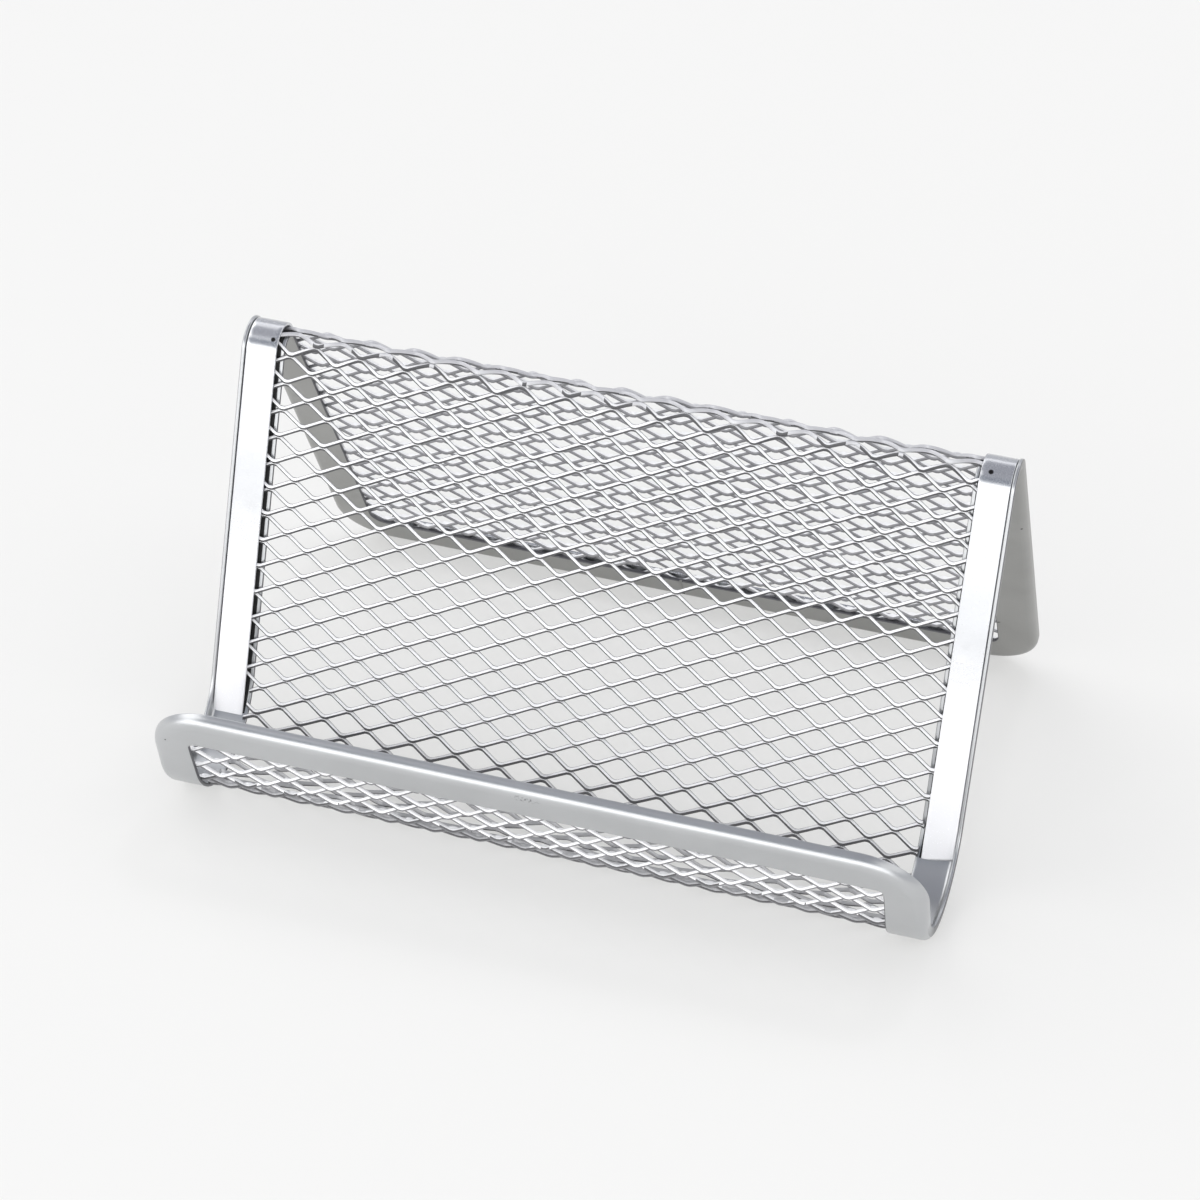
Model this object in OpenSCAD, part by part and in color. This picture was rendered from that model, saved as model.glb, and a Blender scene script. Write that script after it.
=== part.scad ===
// Business card holder stand, bent from one meshed rectangular frame.
// A front lip, a round valley, a sloping back rest, a tight top bend and a rear leg follow one profile.
// Millimetres, +Z up, -Y is the front. The origin is on the table, under the middle of the stand.

/* [Overall] */
// width over the side walls of the rim
body_w = 105; // [90:1:150]
// depth from the lip's top edge to the rear leg's end
body_d = 80; // [74:1:110]
// height of the top bend above the table
body_h = 56; // [50:1:80]

/* [Profile] */
// slope of the back rest from the table, degrees
back_angle = 74; // [66:1:76]
// forward lean of the lip from upright, degrees
lip_lean = 24; // [10:1:30]
// height of the lip's top edge above the table
lip_h = 19.5; // [17:0.5:24]
// radius of the valley bend on the smooth face
valley_r = 11.5; // [8:0.5:12]
// inside radius of the top bend on the smooth face
top_r = 1.8; // [1.5:0.1:4]

/* [Rim] */
// thickness of the stamped sheet
sheet_t = 0.5; // [0.4:0.05:0.8]
// width of the rim's flat face
rim_w = 5.6; // [5.3:0.1:6.4]
// height of the turned-up outer wall, sheet included
wall_h = 1.95; // [1.9:0.05:3]
// outer radius of the fold between face and wall
fold_r = 0.9; // [0.85:0.05:1.2]
// radius of the lip's two outer corners
lip_corner_r = 9; // [7:0.1:10]
// radius of the rear leg's two outer corners
rear_corner_r = 8; // [7:0.1:12]
// radius of the window's two corners in the lip
lip_window_r = 1; // [0.5:0.1:1.4]
// radius of the window's two corners in the rear leg
rear_window_r = 2.4; // [0.5:0.1:2.4]
// width of the butt seam at the middle of the rear rim
seam_w = 0.3; // [0.2:0.05:0.6]
// depth of the butt seam in the smooth face
seam_depth = 0.25; // [0.1:0.05:0.3]

/* [Mesh] */
// thickness of the expanded sheet over its raised strands
mesh_t = 0.8; // [0.6:0.05:1]
// long pitch of the diamond openings, across the stand
mesh_long = 6.35; // [5:0.05:9]
// short pitch of the diamond openings, along the slope
mesh_short = 3.75; // [3.4:0.05:6]
// width of one strand
strand_w = 0.6; // [0.5:0.05:0.9]
// turn of the diamond rows against the rim, degrees
mesh_skew = 3.4; // [0:0.1:5]
// shift of the diamond pattern across the stand
mesh_shift = 1.5; // [-3:0.1:3]
// shift of the diamond pattern along the slope
mesh_rise = 0.8; // [-2:0.1:2]
// overlap of the mesh on the rim in the valley
valley_lap = 0.9; // [0.8:0.1:2]
// plain hem beside the openings in the valley
valley_hem = 0.6; // [0.4:0.1:1]

/* [Strips] */
// width of the retaining strips
strip_w = 4.15; // [3.6:0.05:4.4]
// reach of the mesh openings under the strips
hole_reach = 0.4; // [0.2:0.1:1]
// turn of the valley bend that the side strips follow down to their square feet, degrees
strip_foot = 27; // [5:1:45]
// thickness of the retaining strips
strip_t = 0.4; // [0.3:0.05:0.5]
// gap between the strips or the mesh and the turned-up wall
side_gap = 0.2; // [0.1:0.05:0.3]
// gap between the stacked sheets
layer_gap = 0.05; // [0.03:0.01:0.08]

/* [Hidden] */
$fn = 96;
part_color = [0.76, 0.77, 0.79];
mesh_color = [0.7, 0.71, 0.73];
strip_color = [0.86, 0.87, 0.88];
eps = 0.01;
over = 1;
// bends are this much slimmer all round than the flat lengths
slim = 0.01;
// and their ends run this many degrees into the flat lengths
valley_run = 0.5;
top_run = 3;

// levels of the stacked sheets above the smooth face
mesh_n = sheet_t + layer_gap;
strip_n = mesh_n + mesh_t + layer_gap;
half_w = body_w / 2;
inset = sheet_t + side_gap;

// lengths along the sheet are kept to a thousandth, so that flat lengths and bends meet exactly
function cut(len) = round(len * 1000) / 1000;

// lip: its free end is rounded by the fold, so the front most point lies on that fold
lip_up = [-sin(lip_lean), cos(lip_lean)];
lip_in = [cos(lip_lean), sin(lip_lean)];
valley_z = valley_r - slim;
lip_rise = lip_h - fold_r - valley_z + (valley_r - fold_r) * sin(lip_lean);
lip_len = cut(lip_rise / cos(lip_lean) + fold_r);
valley_y = cut(fold_r - body_d / 2 + (valley_r - fold_r) * lip_in[0] - (lip_len - fold_r) * lip_up[0]);
valley_c = [valley_y, valley_z];

// back rest: from the valley to the top bend, whose wall reaches body_h
back_dir = [cos(back_angle), sin(back_angle)];
back_n = [-sin(back_angle), cos(back_angle)];
back_start = valley_c - valley_r * back_n;
top_z = body_h - wall_h - top_r + slim;
back_len = cut((top_z - back_start[1] + top_r * back_n[1]) / back_dir[1]);
top_c = back_start + back_len * back_dir - top_r * back_n;

// rear leg: its slope is the one that brings its end to the back of the stand
function leg_len(a) = (top_c[1] - fold_r + (top_r + fold_r) * cos(a)) / sin(a) + fold_r;
function leg_end_y(a) = top_c[0] + (top_r + wall_h) * sin(a) + leg_len(a) * cos(a);
function leg_slope(lo, hi, steps) = let (mid = (lo + hi) / 2)
    steps == 0 ? mid
    : leg_end_y(mid) > body_d / 2 ? leg_slope(mid, hi, steps - 1)
    : leg_slope(lo, mid, steps - 1);
rear_angle = leg_slope(20, 88, 40);
rear_len = cut(leg_len(rear_angle));

valley_turn = 90 + back_angle - lip_lean;
top_turn = back_angle + rear_angle;

// flat lengths: children lie with +Y along the profile from front to rear and +Z off the smooth face
module on_back() {
    translate([0, valley_y, valley_z])
        rotate([back_angle, 0, 0])
            translate([0, 0, -valley_r])
                children();
}

module on_lip() {
    on_back()
        translate([0, 0, valley_r])
            rotate([-valley_turn, 0, 0])
                translate([0, -lip_len, -valley_r])
                    children();
}

module on_rear() {
    on_back()
        translate([0, back_len, -top_r])
            rotate([-top_turn, 0, 0])
                translate([0, 0, top_r])
                    children();
}

// bends that begin where a flat length ends: children are flat sections, x across the stand
module over_valley(run = 0) {
    on_lip()
        translate([0, lip_len, valley_r])
            rotate([-run, 0, 0])
                rotate([0, 90, 0])
                    rotate_extrude(angle = valley_turn + 2 * run)
                        translate([valley_r, 0])
                            rotate(90)
                                children();
}

// the last turn of the valley bend only, up to the back rest
module end_of_valley(turn, run) {
    on_back()
        translate([0, 0, valley_r])
            rotate([-turn, 0, 0])
                rotate([0, 90, 0])
                    rotate_extrude(angle = turn + run)
                        translate([valley_r, 0])
                            rotate(90)
                                children();
}

module over_top(run = 0) {
    on_back()
        translate([0, back_len, -top_r])
            rotate([run, 0, 0])
                rotate([0, -90, 0])
                    rotate_extrude(angle = top_turn + 2 * run)
                        translate([top_r, 0])
                            rotate(-90)
                                children();
}

// folded edge of the rim: x inwards from the outer edge, y off the smooth face
module rim_section(less = 0) {
    translate([fold_r, less])
        square([rim_w - fold_r - less, sheet_t - 2 * less]);
    translate([less, fold_r])
        square([sheet_t - 2 * less, wall_h - fold_r - less]);
    translate([fold_r, fold_r])
        intersection() {
            difference() {
                circle(fold_r - less);
                circle(fold_r - sheet_t + less);
            }
            translate([-fold_r, -fold_r])
                square(fold_r);
        }
}

// section of both side rails
module rail_pair(less = 0) {
    for (side = [0, 1])
        mirror([side, 0])
            translate([-half_w, 0])
                rim_section(less);
}

// flat face of a corner, filled in to the window's corner
module corner_face(corner_r, window_r) {
    linear_extrude(sheet_t)
        difference() {
            intersection() {
                translate([corner_r, corner_r])
                    circle(corner_r - fold_r - 1);
                square(corner_r);
            }
            translate([rim_w + window_r, rim_w + window_r])
                circle(window_r);
            translate([rim_w + window_r, rim_w])
                square(corner_r);
            translate([rim_w, rim_w + window_r])
                square(corner_r);
        }
}

// free end of the rim: rail across, two corners and both side rails back to the bend
module end_loop(len, corner_r, window_r) {
    translate([-half_w + corner_r, 0, 0])
        rotate([90, 0, 90])
            linear_extrude(body_w - 2 * corner_r)
                rim_section();
    for (side = [0, 1])
        mirror([side, 0, 0]) {
            translate([-half_w + corner_r, corner_r, 0])
                rotate([0, 0, 180])
                    rotate_extrude(angle = 90)
                        translate([corner_r, 0])
                            mirror([1, 0])
                                intersection() {
                                    rim_section();
                                    square([fold_r + 2, wall_h]);
                                }
            translate([-half_w, 0, 0])
                corner_face(corner_r, window_r);
            translate([-half_w, len, 0])
                rotate([90, 0, 0])
                    linear_extrude(len - corner_r)
                        rim_section();
        }
}

module rim_frame() {
    color(part_color)
        difference() {
            union() {
                on_lip()
                    end_loop(lip_len, lip_corner_r, lip_window_r);
                over_valley(valley_run)
                    rail_pair(slim);
                on_back()
                    translate([0, back_len, 0])
                        rotate([90, 0, 0])
                            linear_extrude(back_len)
                                rail_pair();
                over_top(top_run)
                    rail_pair(slim);
                on_rear()
                    translate([0, rear_len, 0])
                        rotate([0, 0, 180])
                            end_loop(rear_len, rear_corner_r, rear_window_r);
            }
            on_rear()
                translate([-seam_w / 2, rear_len - rim_w - over, -over])
                    cube([seam_w, rim_w - fold_r + over, seam_depth + over]);
        }
}

// diamond openings of the expanded sheet, laid out on its flat length
mesh_mid = mesh_n + mesh_t / 2;
valley_mid_r = valley_r - mesh_mid;
top_mid_r = top_r + mesh_mid;
arc_of = PI / 180;
valley_s = lip_len;
back_s = valley_s + valley_mid_r * valley_turn * arc_of;
top_s = back_s + back_len;
rear_s = top_s + top_mid_r * top_turn * arc_of;
sheet_len = rear_s + rear_len;

// half diagonals of one opening: the lattice cell less half a strand on each side
cell = [mesh_long / 2, mesh_short / 2];
cell_reach = cell[0] * cell[1] / norm(cell);
hole = cell * (1 - strand_w / 2 / cell_reach);
cover_w = inset + strip_w - hole_reach;

function opening_at(i, j) = let (
        u = (i + (j % 2 == 0 ? 0 : 0.5)) * mesh_long,
        s = j * cell[1] - sheet_len / 2)
    [u * cos(mesh_skew) + s * sin(mesh_skew) + mesh_shift,
     s * cos(mesh_skew) - u * sin(mesh_skew) + sheet_len / 2 + mesh_rise];

columns = ceil(half_w / mesh_long) + 1;
rows = ceil(sheet_len / cell[1]) + 4;

// centres of the openings that touch the length from s0 to s1, within reach of the middle
function openings(s0, s1, reach) = [
    for (j = [-4 : rows], i = [-columns : columns])
        let (p = opening_at(i, j))
            if (p[1] > s0 && p[1] < s1 && abs(p[0]) < reach + hole[0] - strand_w)
                p];

function hole_half(x) = hole[1] * (1 - abs(x) / hole[0]);

// one opening, cut short at the hem on either side; squeeze draws it in on a bend
module opening(u, reach, squeeze = 1) {
    x0 = max(-hole[0], -reach - u);
    x1 = min(hole[0], reach - u);
    xs = x0 < 0 && x1 > 0 ? [x0, 0, x1] : [x0, x1];
    last = len(xs) - 1;
    rotate(-mesh_skew)
        scale([1, squeeze])
            polygon(concat(
                [for (x = xs) [x, hole_half(x)]],
                [for (k = [0 : last]) let (x = xs[last - k]) if (hole_half(x) > eps) [x, -hole_half(x)]]));
}

// outline of a flat length with a free end at y = 0
module end_sheet(len, corner_r) {
    w = half_w - inset;
    r = corner_r - inset;
    translate([-w, corner_r])
        square([2 * w, len - corner_r]);
    translate([-w + r, inset])
        square([2 * (w - r), corner_r - inset]);
    for (side = [-1, 1])
        translate([side * (w - r), corner_r])
            intersection() {
                circle(r);
                translate([-r, -r])
                    square([2 * r, r]);
            }
}

module mesh_lip() {
    reach = half_w - cover_w;
    color(mesh_color)
        on_lip()
            translate([0, 0, mesh_n])
                linear_extrude(mesh_t)
                    difference() {
                        end_sheet(lip_len, lip_corner_r);
                        for (p = openings(cover_w + hole[1], lip_len + hole[1], reach))
                            translate(p)
                                opening(p[0], reach);
                    }
}

module mesh_valley() {
    w = half_w - rim_w + valley_lap;
    reach = w - valley_hem;
    squeeze = valley_mid_r * sin(hole[1] / valley_mid_r / arc_of) / hole[1];
    color(mesh_color)
        difference() {
            over_valley()
                translate([-w, mesh_n])
                    square([2 * w, mesh_t]);
            for (p = openings(valley_s - hole[1], back_s + hole[1], reach))
                on_back()
                    translate([0, 0, valley_r])
                        rotate([(p[1] - back_s) / valley_mid_r / arc_of, 0, 0])
                            translate([p[0], 0, -valley_r])
                                linear_extrude(mesh_n + mesh_t + over)
                                    opening(p[0], reach, squeeze);
        }
}

module mesh_back_rest() {
    reach = half_w - cover_w;
    color(mesh_color)
        on_back()
            translate([0, 0, mesh_n])
                linear_extrude(mesh_t)
                    difference() {
                        translate([inset - half_w, 0])
                            square([body_w - 2 * inset, back_len]);
                        for (p = openings(back_s - hole[1], top_s + hole[1], reach))
                            translate([p[0], p[1] - back_s])
                                opening(p[0], reach);
                    }
}

module mesh_top_bend() {
    w = half_w - inset;
    reach = half_w - cover_w;
    squeeze = top_mid_r * sin(hole[1] / top_mid_r / arc_of) / hole[1];
    color(mesh_color)
        difference() {
            over_top()
                translate([-w, mesh_n])
                    square([2 * w, mesh_t]);
            for (p = openings(top_s - hole[1], rear_s + hole[1], reach))
                on_back()
                    translate([0, back_len, -top_r])
                        rotate([(top_s - p[1]) / top_mid_r / arc_of, 0, 0])
                            translate([p[0], 0, top_r / 2])
                                linear_extrude(top_r / 2 + mesh_n + mesh_t + over)
                                    opening(p[0], reach, squeeze);
        }
}

module mesh_rear_leg() {
    reach = half_w - cover_w;
    color(mesh_color)
        on_rear()
            translate([0, 0, mesh_n])
                linear_extrude(mesh_t)
                    difference() {
                        translate([0, rear_len])
                            rotate(180)
                                end_sheet(rear_len, rear_corner_r);
                        for (p = openings(rear_s - hole[1], sheet_len - cover_w - hole[1], reach))
                            translate([p[0], p[1] - rear_s])
                                opening(p[0], reach);
                    }
}

// section of one side strip, on the left
module strip_section(less = 0) {
    translate([inset - half_w + less, strip_n + less])
        square([strip_w - 2 * less, strip_t - 2 * less]);
}

// side strip from its square foot in the valley, over the top and down to the rear corner
module side_strip() {
    end_of_valley(strip_foot, valley_run)
        strip_section(slim);
    on_back()
        translate([0, back_len, 0])
            rotate([90, 0, 0])
                linear_extrude(back_len)
                    strip_section();
    over_top(top_run)
        strip_section(slim);
    on_rear()
        translate([0, rear_len - rear_corner_r, 0])
            rotate([90, 0, 0])
                linear_extrude(rear_len - rear_corner_r)
                    strip_section();
}

module side_strip_left() {
    color(strip_color)
        side_strip();
}

module side_strip_right() {
    color(strip_color)
        mirror([1, 0, 0])
            side_strip();
}

// strip across a free end, between the rounded corners
module end_strip(corner_r) {
    color(strip_color)
        translate([corner_r - half_w, inset, strip_n])
            cube([body_w - 2 * corner_r, strip_w, strip_t]);
}

module lip_strip() {
    on_lip()
        end_strip(lip_corner_r);
}

module rear_strip() {
    on_rear()
        translate([0, rear_len, 0])
            rotate([0, 0, 180])
                end_strip(rear_corner_r);
}

rim_frame();
mesh_lip();
mesh_valley();
mesh_back_rest();
mesh_top_bend();
mesh_rear_leg();
lip_strip();
side_strip_left();
side_strip_right();
rear_strip();
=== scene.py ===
import bpy
import math
from mathutils import Matrix, Vector, noise


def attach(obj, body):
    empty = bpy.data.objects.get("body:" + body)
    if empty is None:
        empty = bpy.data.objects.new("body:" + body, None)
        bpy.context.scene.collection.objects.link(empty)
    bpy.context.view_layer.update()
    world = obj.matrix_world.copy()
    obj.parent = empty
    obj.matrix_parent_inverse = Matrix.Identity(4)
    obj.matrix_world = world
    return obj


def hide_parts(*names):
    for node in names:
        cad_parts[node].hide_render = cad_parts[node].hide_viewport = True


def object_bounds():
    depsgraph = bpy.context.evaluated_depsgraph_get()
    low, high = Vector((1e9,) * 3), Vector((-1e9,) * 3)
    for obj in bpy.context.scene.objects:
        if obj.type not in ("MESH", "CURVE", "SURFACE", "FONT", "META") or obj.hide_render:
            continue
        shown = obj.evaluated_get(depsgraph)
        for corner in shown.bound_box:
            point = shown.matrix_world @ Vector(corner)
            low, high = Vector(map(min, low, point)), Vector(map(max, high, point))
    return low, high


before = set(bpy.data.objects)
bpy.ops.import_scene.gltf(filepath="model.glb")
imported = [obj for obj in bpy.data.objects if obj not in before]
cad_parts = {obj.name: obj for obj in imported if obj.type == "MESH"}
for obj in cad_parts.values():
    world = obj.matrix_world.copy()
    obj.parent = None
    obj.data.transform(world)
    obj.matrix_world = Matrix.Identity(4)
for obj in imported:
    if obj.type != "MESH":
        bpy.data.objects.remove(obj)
cad_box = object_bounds()
MM = 0.001

# Sizes in millimetres and angles in degrees. The overall sizes come from the bounds of model.glb, and
# the others repeat the driving dimensions of the part's source.
WIDTH, DEPTH, HEIGHT = (round((high - low) / MM, 1) for low, high in zip(*cad_box))
BACK_ANGLE, LIP_LEAN = 74.0, 24.0
LIP_HEIGHT, VALLEY_RADIUS, TOP_RADIUS = 19.5, 11.5, 1.8
SHEET_T, RIM_FACE, WALL, FOLD_RADIUS = 0.5, 5.6, 1.95, 0.9
LIP_CORNER, REAR_CORNER, WINDOW_CORNER = 9.0, 8.0, 1.0
MESH_T, LAYER, GAP = 0.8, 0.05, 0.2
OPENING_LONG, OPENING_SHORT, MESH_SKEW = 6.35, 3.75, 3.4
MESH_SHIFT, MESH_RISE = 1.5, 0.8
VALLEY_LAP = 0.9
STRIP_W, STRIP_T, FOOT_TURN = 4.15, 0.4, 27.0

# Half of the width, the strips' distance from the rim's outer edge, and heights off the smooth face.
HALF = WIDTH / 2
INSET = SHEET_T + GAP
MESH_BOTTOM = SHEET_T + LAYER
MESH_MIDDLE = MESH_BOTTOM + MESH_T / 2
STRIP_BOTTOM = MESH_BOTTOM + MESH_T + LAYER
STRIP_TOP = STRIP_BOTTOM + STRIP_T


def rad(a):
    return math.radians(a)


# The bent profile, in the Y-Z plane.
lip_up = (-math.sin(rad(LIP_LEAN)), math.cos(rad(LIP_LEAN)))
lip_in = (math.cos(rad(LIP_LEAN)), math.sin(rad(LIP_LEAN)))
lip_rise = LIP_HEIGHT - FOLD_RADIUS - VALLEY_RADIUS + (VALLEY_RADIUS - FOLD_RADIUS) * math.sin(rad(LIP_LEAN))
lip_length = lip_rise / math.cos(rad(LIP_LEAN)) + FOLD_RADIUS
lip_back = (VALLEY_RADIUS - FOLD_RADIUS) * lip_in[0] - (lip_length - FOLD_RADIUS) * lip_up[0]
valley_centre = (FOLD_RADIUS - DEPTH / 2 + lip_back, VALLEY_RADIUS)
lip_end = (valley_centre[0] - VALLEY_RADIUS * lip_in[0] + lip_length * lip_up[0],
           valley_centre[1] - VALLEY_RADIUS * lip_in[1] + lip_length * lip_up[1])
back_along = (math.cos(rad(BACK_ANGLE)), math.sin(rad(BACK_ANGLE)))
back_off = (-math.sin(rad(BACK_ANGLE)), math.cos(rad(BACK_ANGLE)))
back_start = (valley_centre[0] - VALLEY_RADIUS * back_off[0], valley_centre[1] - VALLEY_RADIUS * back_off[1])
top_z = HEIGHT - WALL - TOP_RADIUS
back_length = (top_z - back_start[1] + TOP_RADIUS * back_off[1]) / back_along[1]
top_centre = (back_start[0] + back_length * back_along[0] - TOP_RADIUS * back_off[0], top_z)


def leg_length(a):
    """Length of the rear leg that reaches the floor when it falls at angle a, in radians."""
    drop = top_centre[1] - FOLD_RADIUS + (TOP_RADIUS + FOLD_RADIUS) * math.cos(a)
    return drop / math.sin(a) + FOLD_RADIUS


def leg_end(a):
    """Where such a leg ends in Y."""
    return top_centre[0] + (TOP_RADIUS + WALL) * math.sin(a) + leg_length(a) * math.cos(a)


def leg_angle():
    """The angle at which the rear leg ends at the full depth, found by halving."""
    low, high = rad(20), rad(88)
    for _ in range(50):
        middle = (low + high) / 2
        if leg_end(middle) > DEPTH / 2:
            low = middle
        else:
            high = middle
    return (low + high) / 2


LEG_ANGLE = leg_angle()
rear_off = (math.sin(LEG_ANGLE), math.cos(LEG_ANGLE))
rear_along = (math.cos(LEG_ANGLE), -math.sin(LEG_ANGLE))
rear_start = (top_centre[0] + TOP_RADIUS * rear_off[0], top_centre[1] + TOP_RADIUS * rear_off[1])

# Places along the flat sheet, from the lip's edge to the rear edge.
VALLEY_BEND = VALLEY_RADIUS - MESH_MIDDLE
TOP_BEND = TOP_RADIUS + MESH_MIDDLE
S_VALLEY = lip_length
S_BACK = S_VALLEY + VALLEY_BEND * rad(90 + BACK_ANGLE - LIP_LEAN)
S_FOOT = S_BACK - VALLEY_BEND * rad(FOOT_TURN)
S_TOP = S_BACK + back_length
S_REAR = S_TOP + TOP_BEND * (rad(BACK_ANGLE) + LEG_ANGLE)
S_END = S_REAR + leg_length(LEG_ANGLE)

# How close together the rings of a long form lie, on the flat lengths and in the two bends.
FLAT_STEP, VALLEY_STEP, TOP_STEP = 0.9, 0.3, 0.14


def place(x, s, n):
    """A point of the flat sheet, x across, s along and n off the smooth face, on the bent stand."""
    if s < S_VALLEY:
        y = lip_end[0] - s * lip_up[0] + n * lip_in[0]
        z = lip_end[1] - s * lip_up[1] + n * lip_in[1]
    elif s < S_BACK:
        a = rad(180 + LIP_LEAN) + (s - S_VALLEY) / VALLEY_BEND
        y = valley_centre[0] + (VALLEY_RADIUS - n) * math.cos(a)
        z = valley_centre[1] + (VALLEY_RADIUS - n) * math.sin(a)
    elif s < S_TOP:
        y = back_start[0] + (s - S_BACK) * back_along[0] + n * back_off[0]
        z = back_start[1] + (s - S_BACK) * back_along[1] + n * back_off[1]
    elif s < S_REAR:
        a = rad(90 + BACK_ANGLE) - (s - S_TOP) / TOP_BEND
        y = top_centre[0] + (TOP_RADIUS + n) * math.cos(a)
        z = top_centre[1] + (TOP_RADIUS + n) * math.sin(a)
    else:
        y = rear_start[0] + (s - S_REAR) * rear_along[0] + n * rear_off[0]
        z = rear_start[1] + (s - S_REAR) * rear_along[1] + n * rear_off[1]
    return (x * MM, y * MM, z * MM)


def span(a, b, step):
    """Numbers from a to b, evenly spaced by about step, without b."""
    k = max(1, math.ceil(abs(b - a) / step))
    return [a + (b - a) * i / k for i in range(k)]


def along(a, b):
    """Places along the sheet from a to b, close together in the bends."""
    cuts = [(S_VALLEY, FLAT_STEP), (S_BACK, VALLEY_STEP), (S_TOP, FLAT_STEP), (S_REAR, TOP_STEP),
            (S_END + 1, FLAT_STEP)]
    out, at = [], a
    for end, step in cuts:
        if at >= b:
            break
        if end > at:
            out += span(at, min(end, b), step)
            at = min(end, b)
    return out + [b]


# Shader nodes.
def link(tree, a, b):
    tree.links.new(a, b)


def node(tree, kind, **values):
    n = tree.nodes.new(kind)
    for key, value in values.items():
        setattr(n, key, value)
    return n


def noise_tex(t, vector, scale, detail):
    n = node(t, "ShaderNodeTexNoise")
    n.inputs["Scale"].default_value = scale
    n.inputs["Detail"].default_value = detail
    link(t, vector, n.inputs["Vector"])
    return n.outputs["Fac"]


def maths(t, operation, a, b=None, clamp=False):
    """A maths node, where a and b are sockets or numbers."""
    n = node(t, "ShaderNodeMath", operation=operation, use_clamp=clamp)
    for socket, value in zip(n.inputs, (a, b)):
        if isinstance(value, (int, float)):
            socket.default_value = value
        elif value is not None:
            link(t, value, socket)
    return n.outputs[0]


def vector_maths(t, operation, vector, by=None):
    """A vector maths node on a socket, by a constant vector if one is given."""
    n = node(t, "ShaderNodeVectorMath", operation=operation)
    link(t, vector, n.inputs[0])
    if by:
        n.inputs[1].default_value = by
    return n.outputs


def axes(t, vector):
    """The X, Y and Z of a vector."""
    n = node(t, "ShaderNodeSeparateXYZ")
    link(t, vector, n.inputs["Vector"])
    return n.outputs


def remap(t, value, from_min, from_max, to_min, to_max, **values):
    """Value goes from to_min to to_max as it passes from from_min to from_max."""
    n = node(t, "ShaderNodeMapRange", **values)
    ends = zip(("From Min", "From Max", "To Min", "To Max"), (from_min, from_max, to_min, to_max))
    for key, end in ends:
        n.inputs[key].default_value = end
    link(t, value, n.inputs["Value"])
    return n.outputs["Result"]


def blend(t, factor, a, b):
    """Colour a where the factor is 0 and b where it is 1; each is a socket or a colour."""
    n = node(t, "ShaderNodeMix", data_type="RGBA")
    link(t, factor, n.inputs["Factor"])
    for name, color in (("A", a), ("B", b)):
        socket = [q for q in n.inputs if q.name == name and q.type == "RGBA"][0]
        if isinstance(color, tuple):
            socket.default_value = (*color, 1)
        else:
            link(t, color, socket)
    return [q for q in n.outputs if q.type == "RGBA"][0]


def bump(t, height, strength, distance, under=None):
    """Unevenness of the surface, in metres, over an earlier one if that is given."""
    n = node(t, "ShaderNodeBump")
    n.inputs["Strength"].default_value = strength
    n.inputs["Distance"].default_value = distance
    link(t, height, n.inputs["Height"])
    if under:
        link(t, under, n.inputs["Normal"])
    return n.outputs["Normal"]


# Paint. The scales of noise are per metre.
PATCH_SCALE, PEEL_SCALE, SPECK_SCALE, FLAKE_SCALE = 90, 700, 2600, 5200
PEEL_HEIGHT, FLAKE_HEIGHT = 0.00003, 0.00001
ROUGH_RANGE = 0.03
# Tone and metal of the painted highlight on the strips' foot.
FOOT_HIGHLIGHT_TONE, FOOT_HIGHLIGHT_METALLIC = (0.97, 0.97, 0.985), 0.05


def scuff_or_shade_spot(t, position, color, middle, reach, tone, solid):
    """A scuff of broken specks that fade out from its middle, or, if solid, one small dark spot painted as
    the shade in a hole or pit.
    """
    away = vector_maths(t, "DIVIDE", vector_maths(t, "SUBTRACT", position, middle)[0], reach)[0]
    distance = vector_maths(t, "LENGTH", away)["Value"]
    near = remap(t, distance, 0.7 if solid else 0.2, 1.0, 1, 0)
    least, most = (-0.2, 0.1) if solid else (0.5, 0.62)
    specks = remap(t, noise_tex(t, position, SPECK_SCALE, 3), least, most, 0, 1)
    return blend(t, maths(t, "MULTIPLY", near, specks), color, tone)


def foot_highlight_mask(t, position):
    """Mask of the painted highlight, a paler coat on the strips at the foot of the back rest; places in
    metres.
    """
    height, depth = axes(t, position)["Z"], axes(t, position)["Y"]
    low = remap(t, height, 0.016, 0.034, 1, 0)
    before_leg = remap(t, depth, -0.004, 0.0, 1, 0)
    behind_lip = remap(t, depth, -0.031, -0.027, 0, 1)
    return maths(t, "MULTIPLY", maths(t, "MULTIPLY", low, before_leg), behind_lip)


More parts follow.
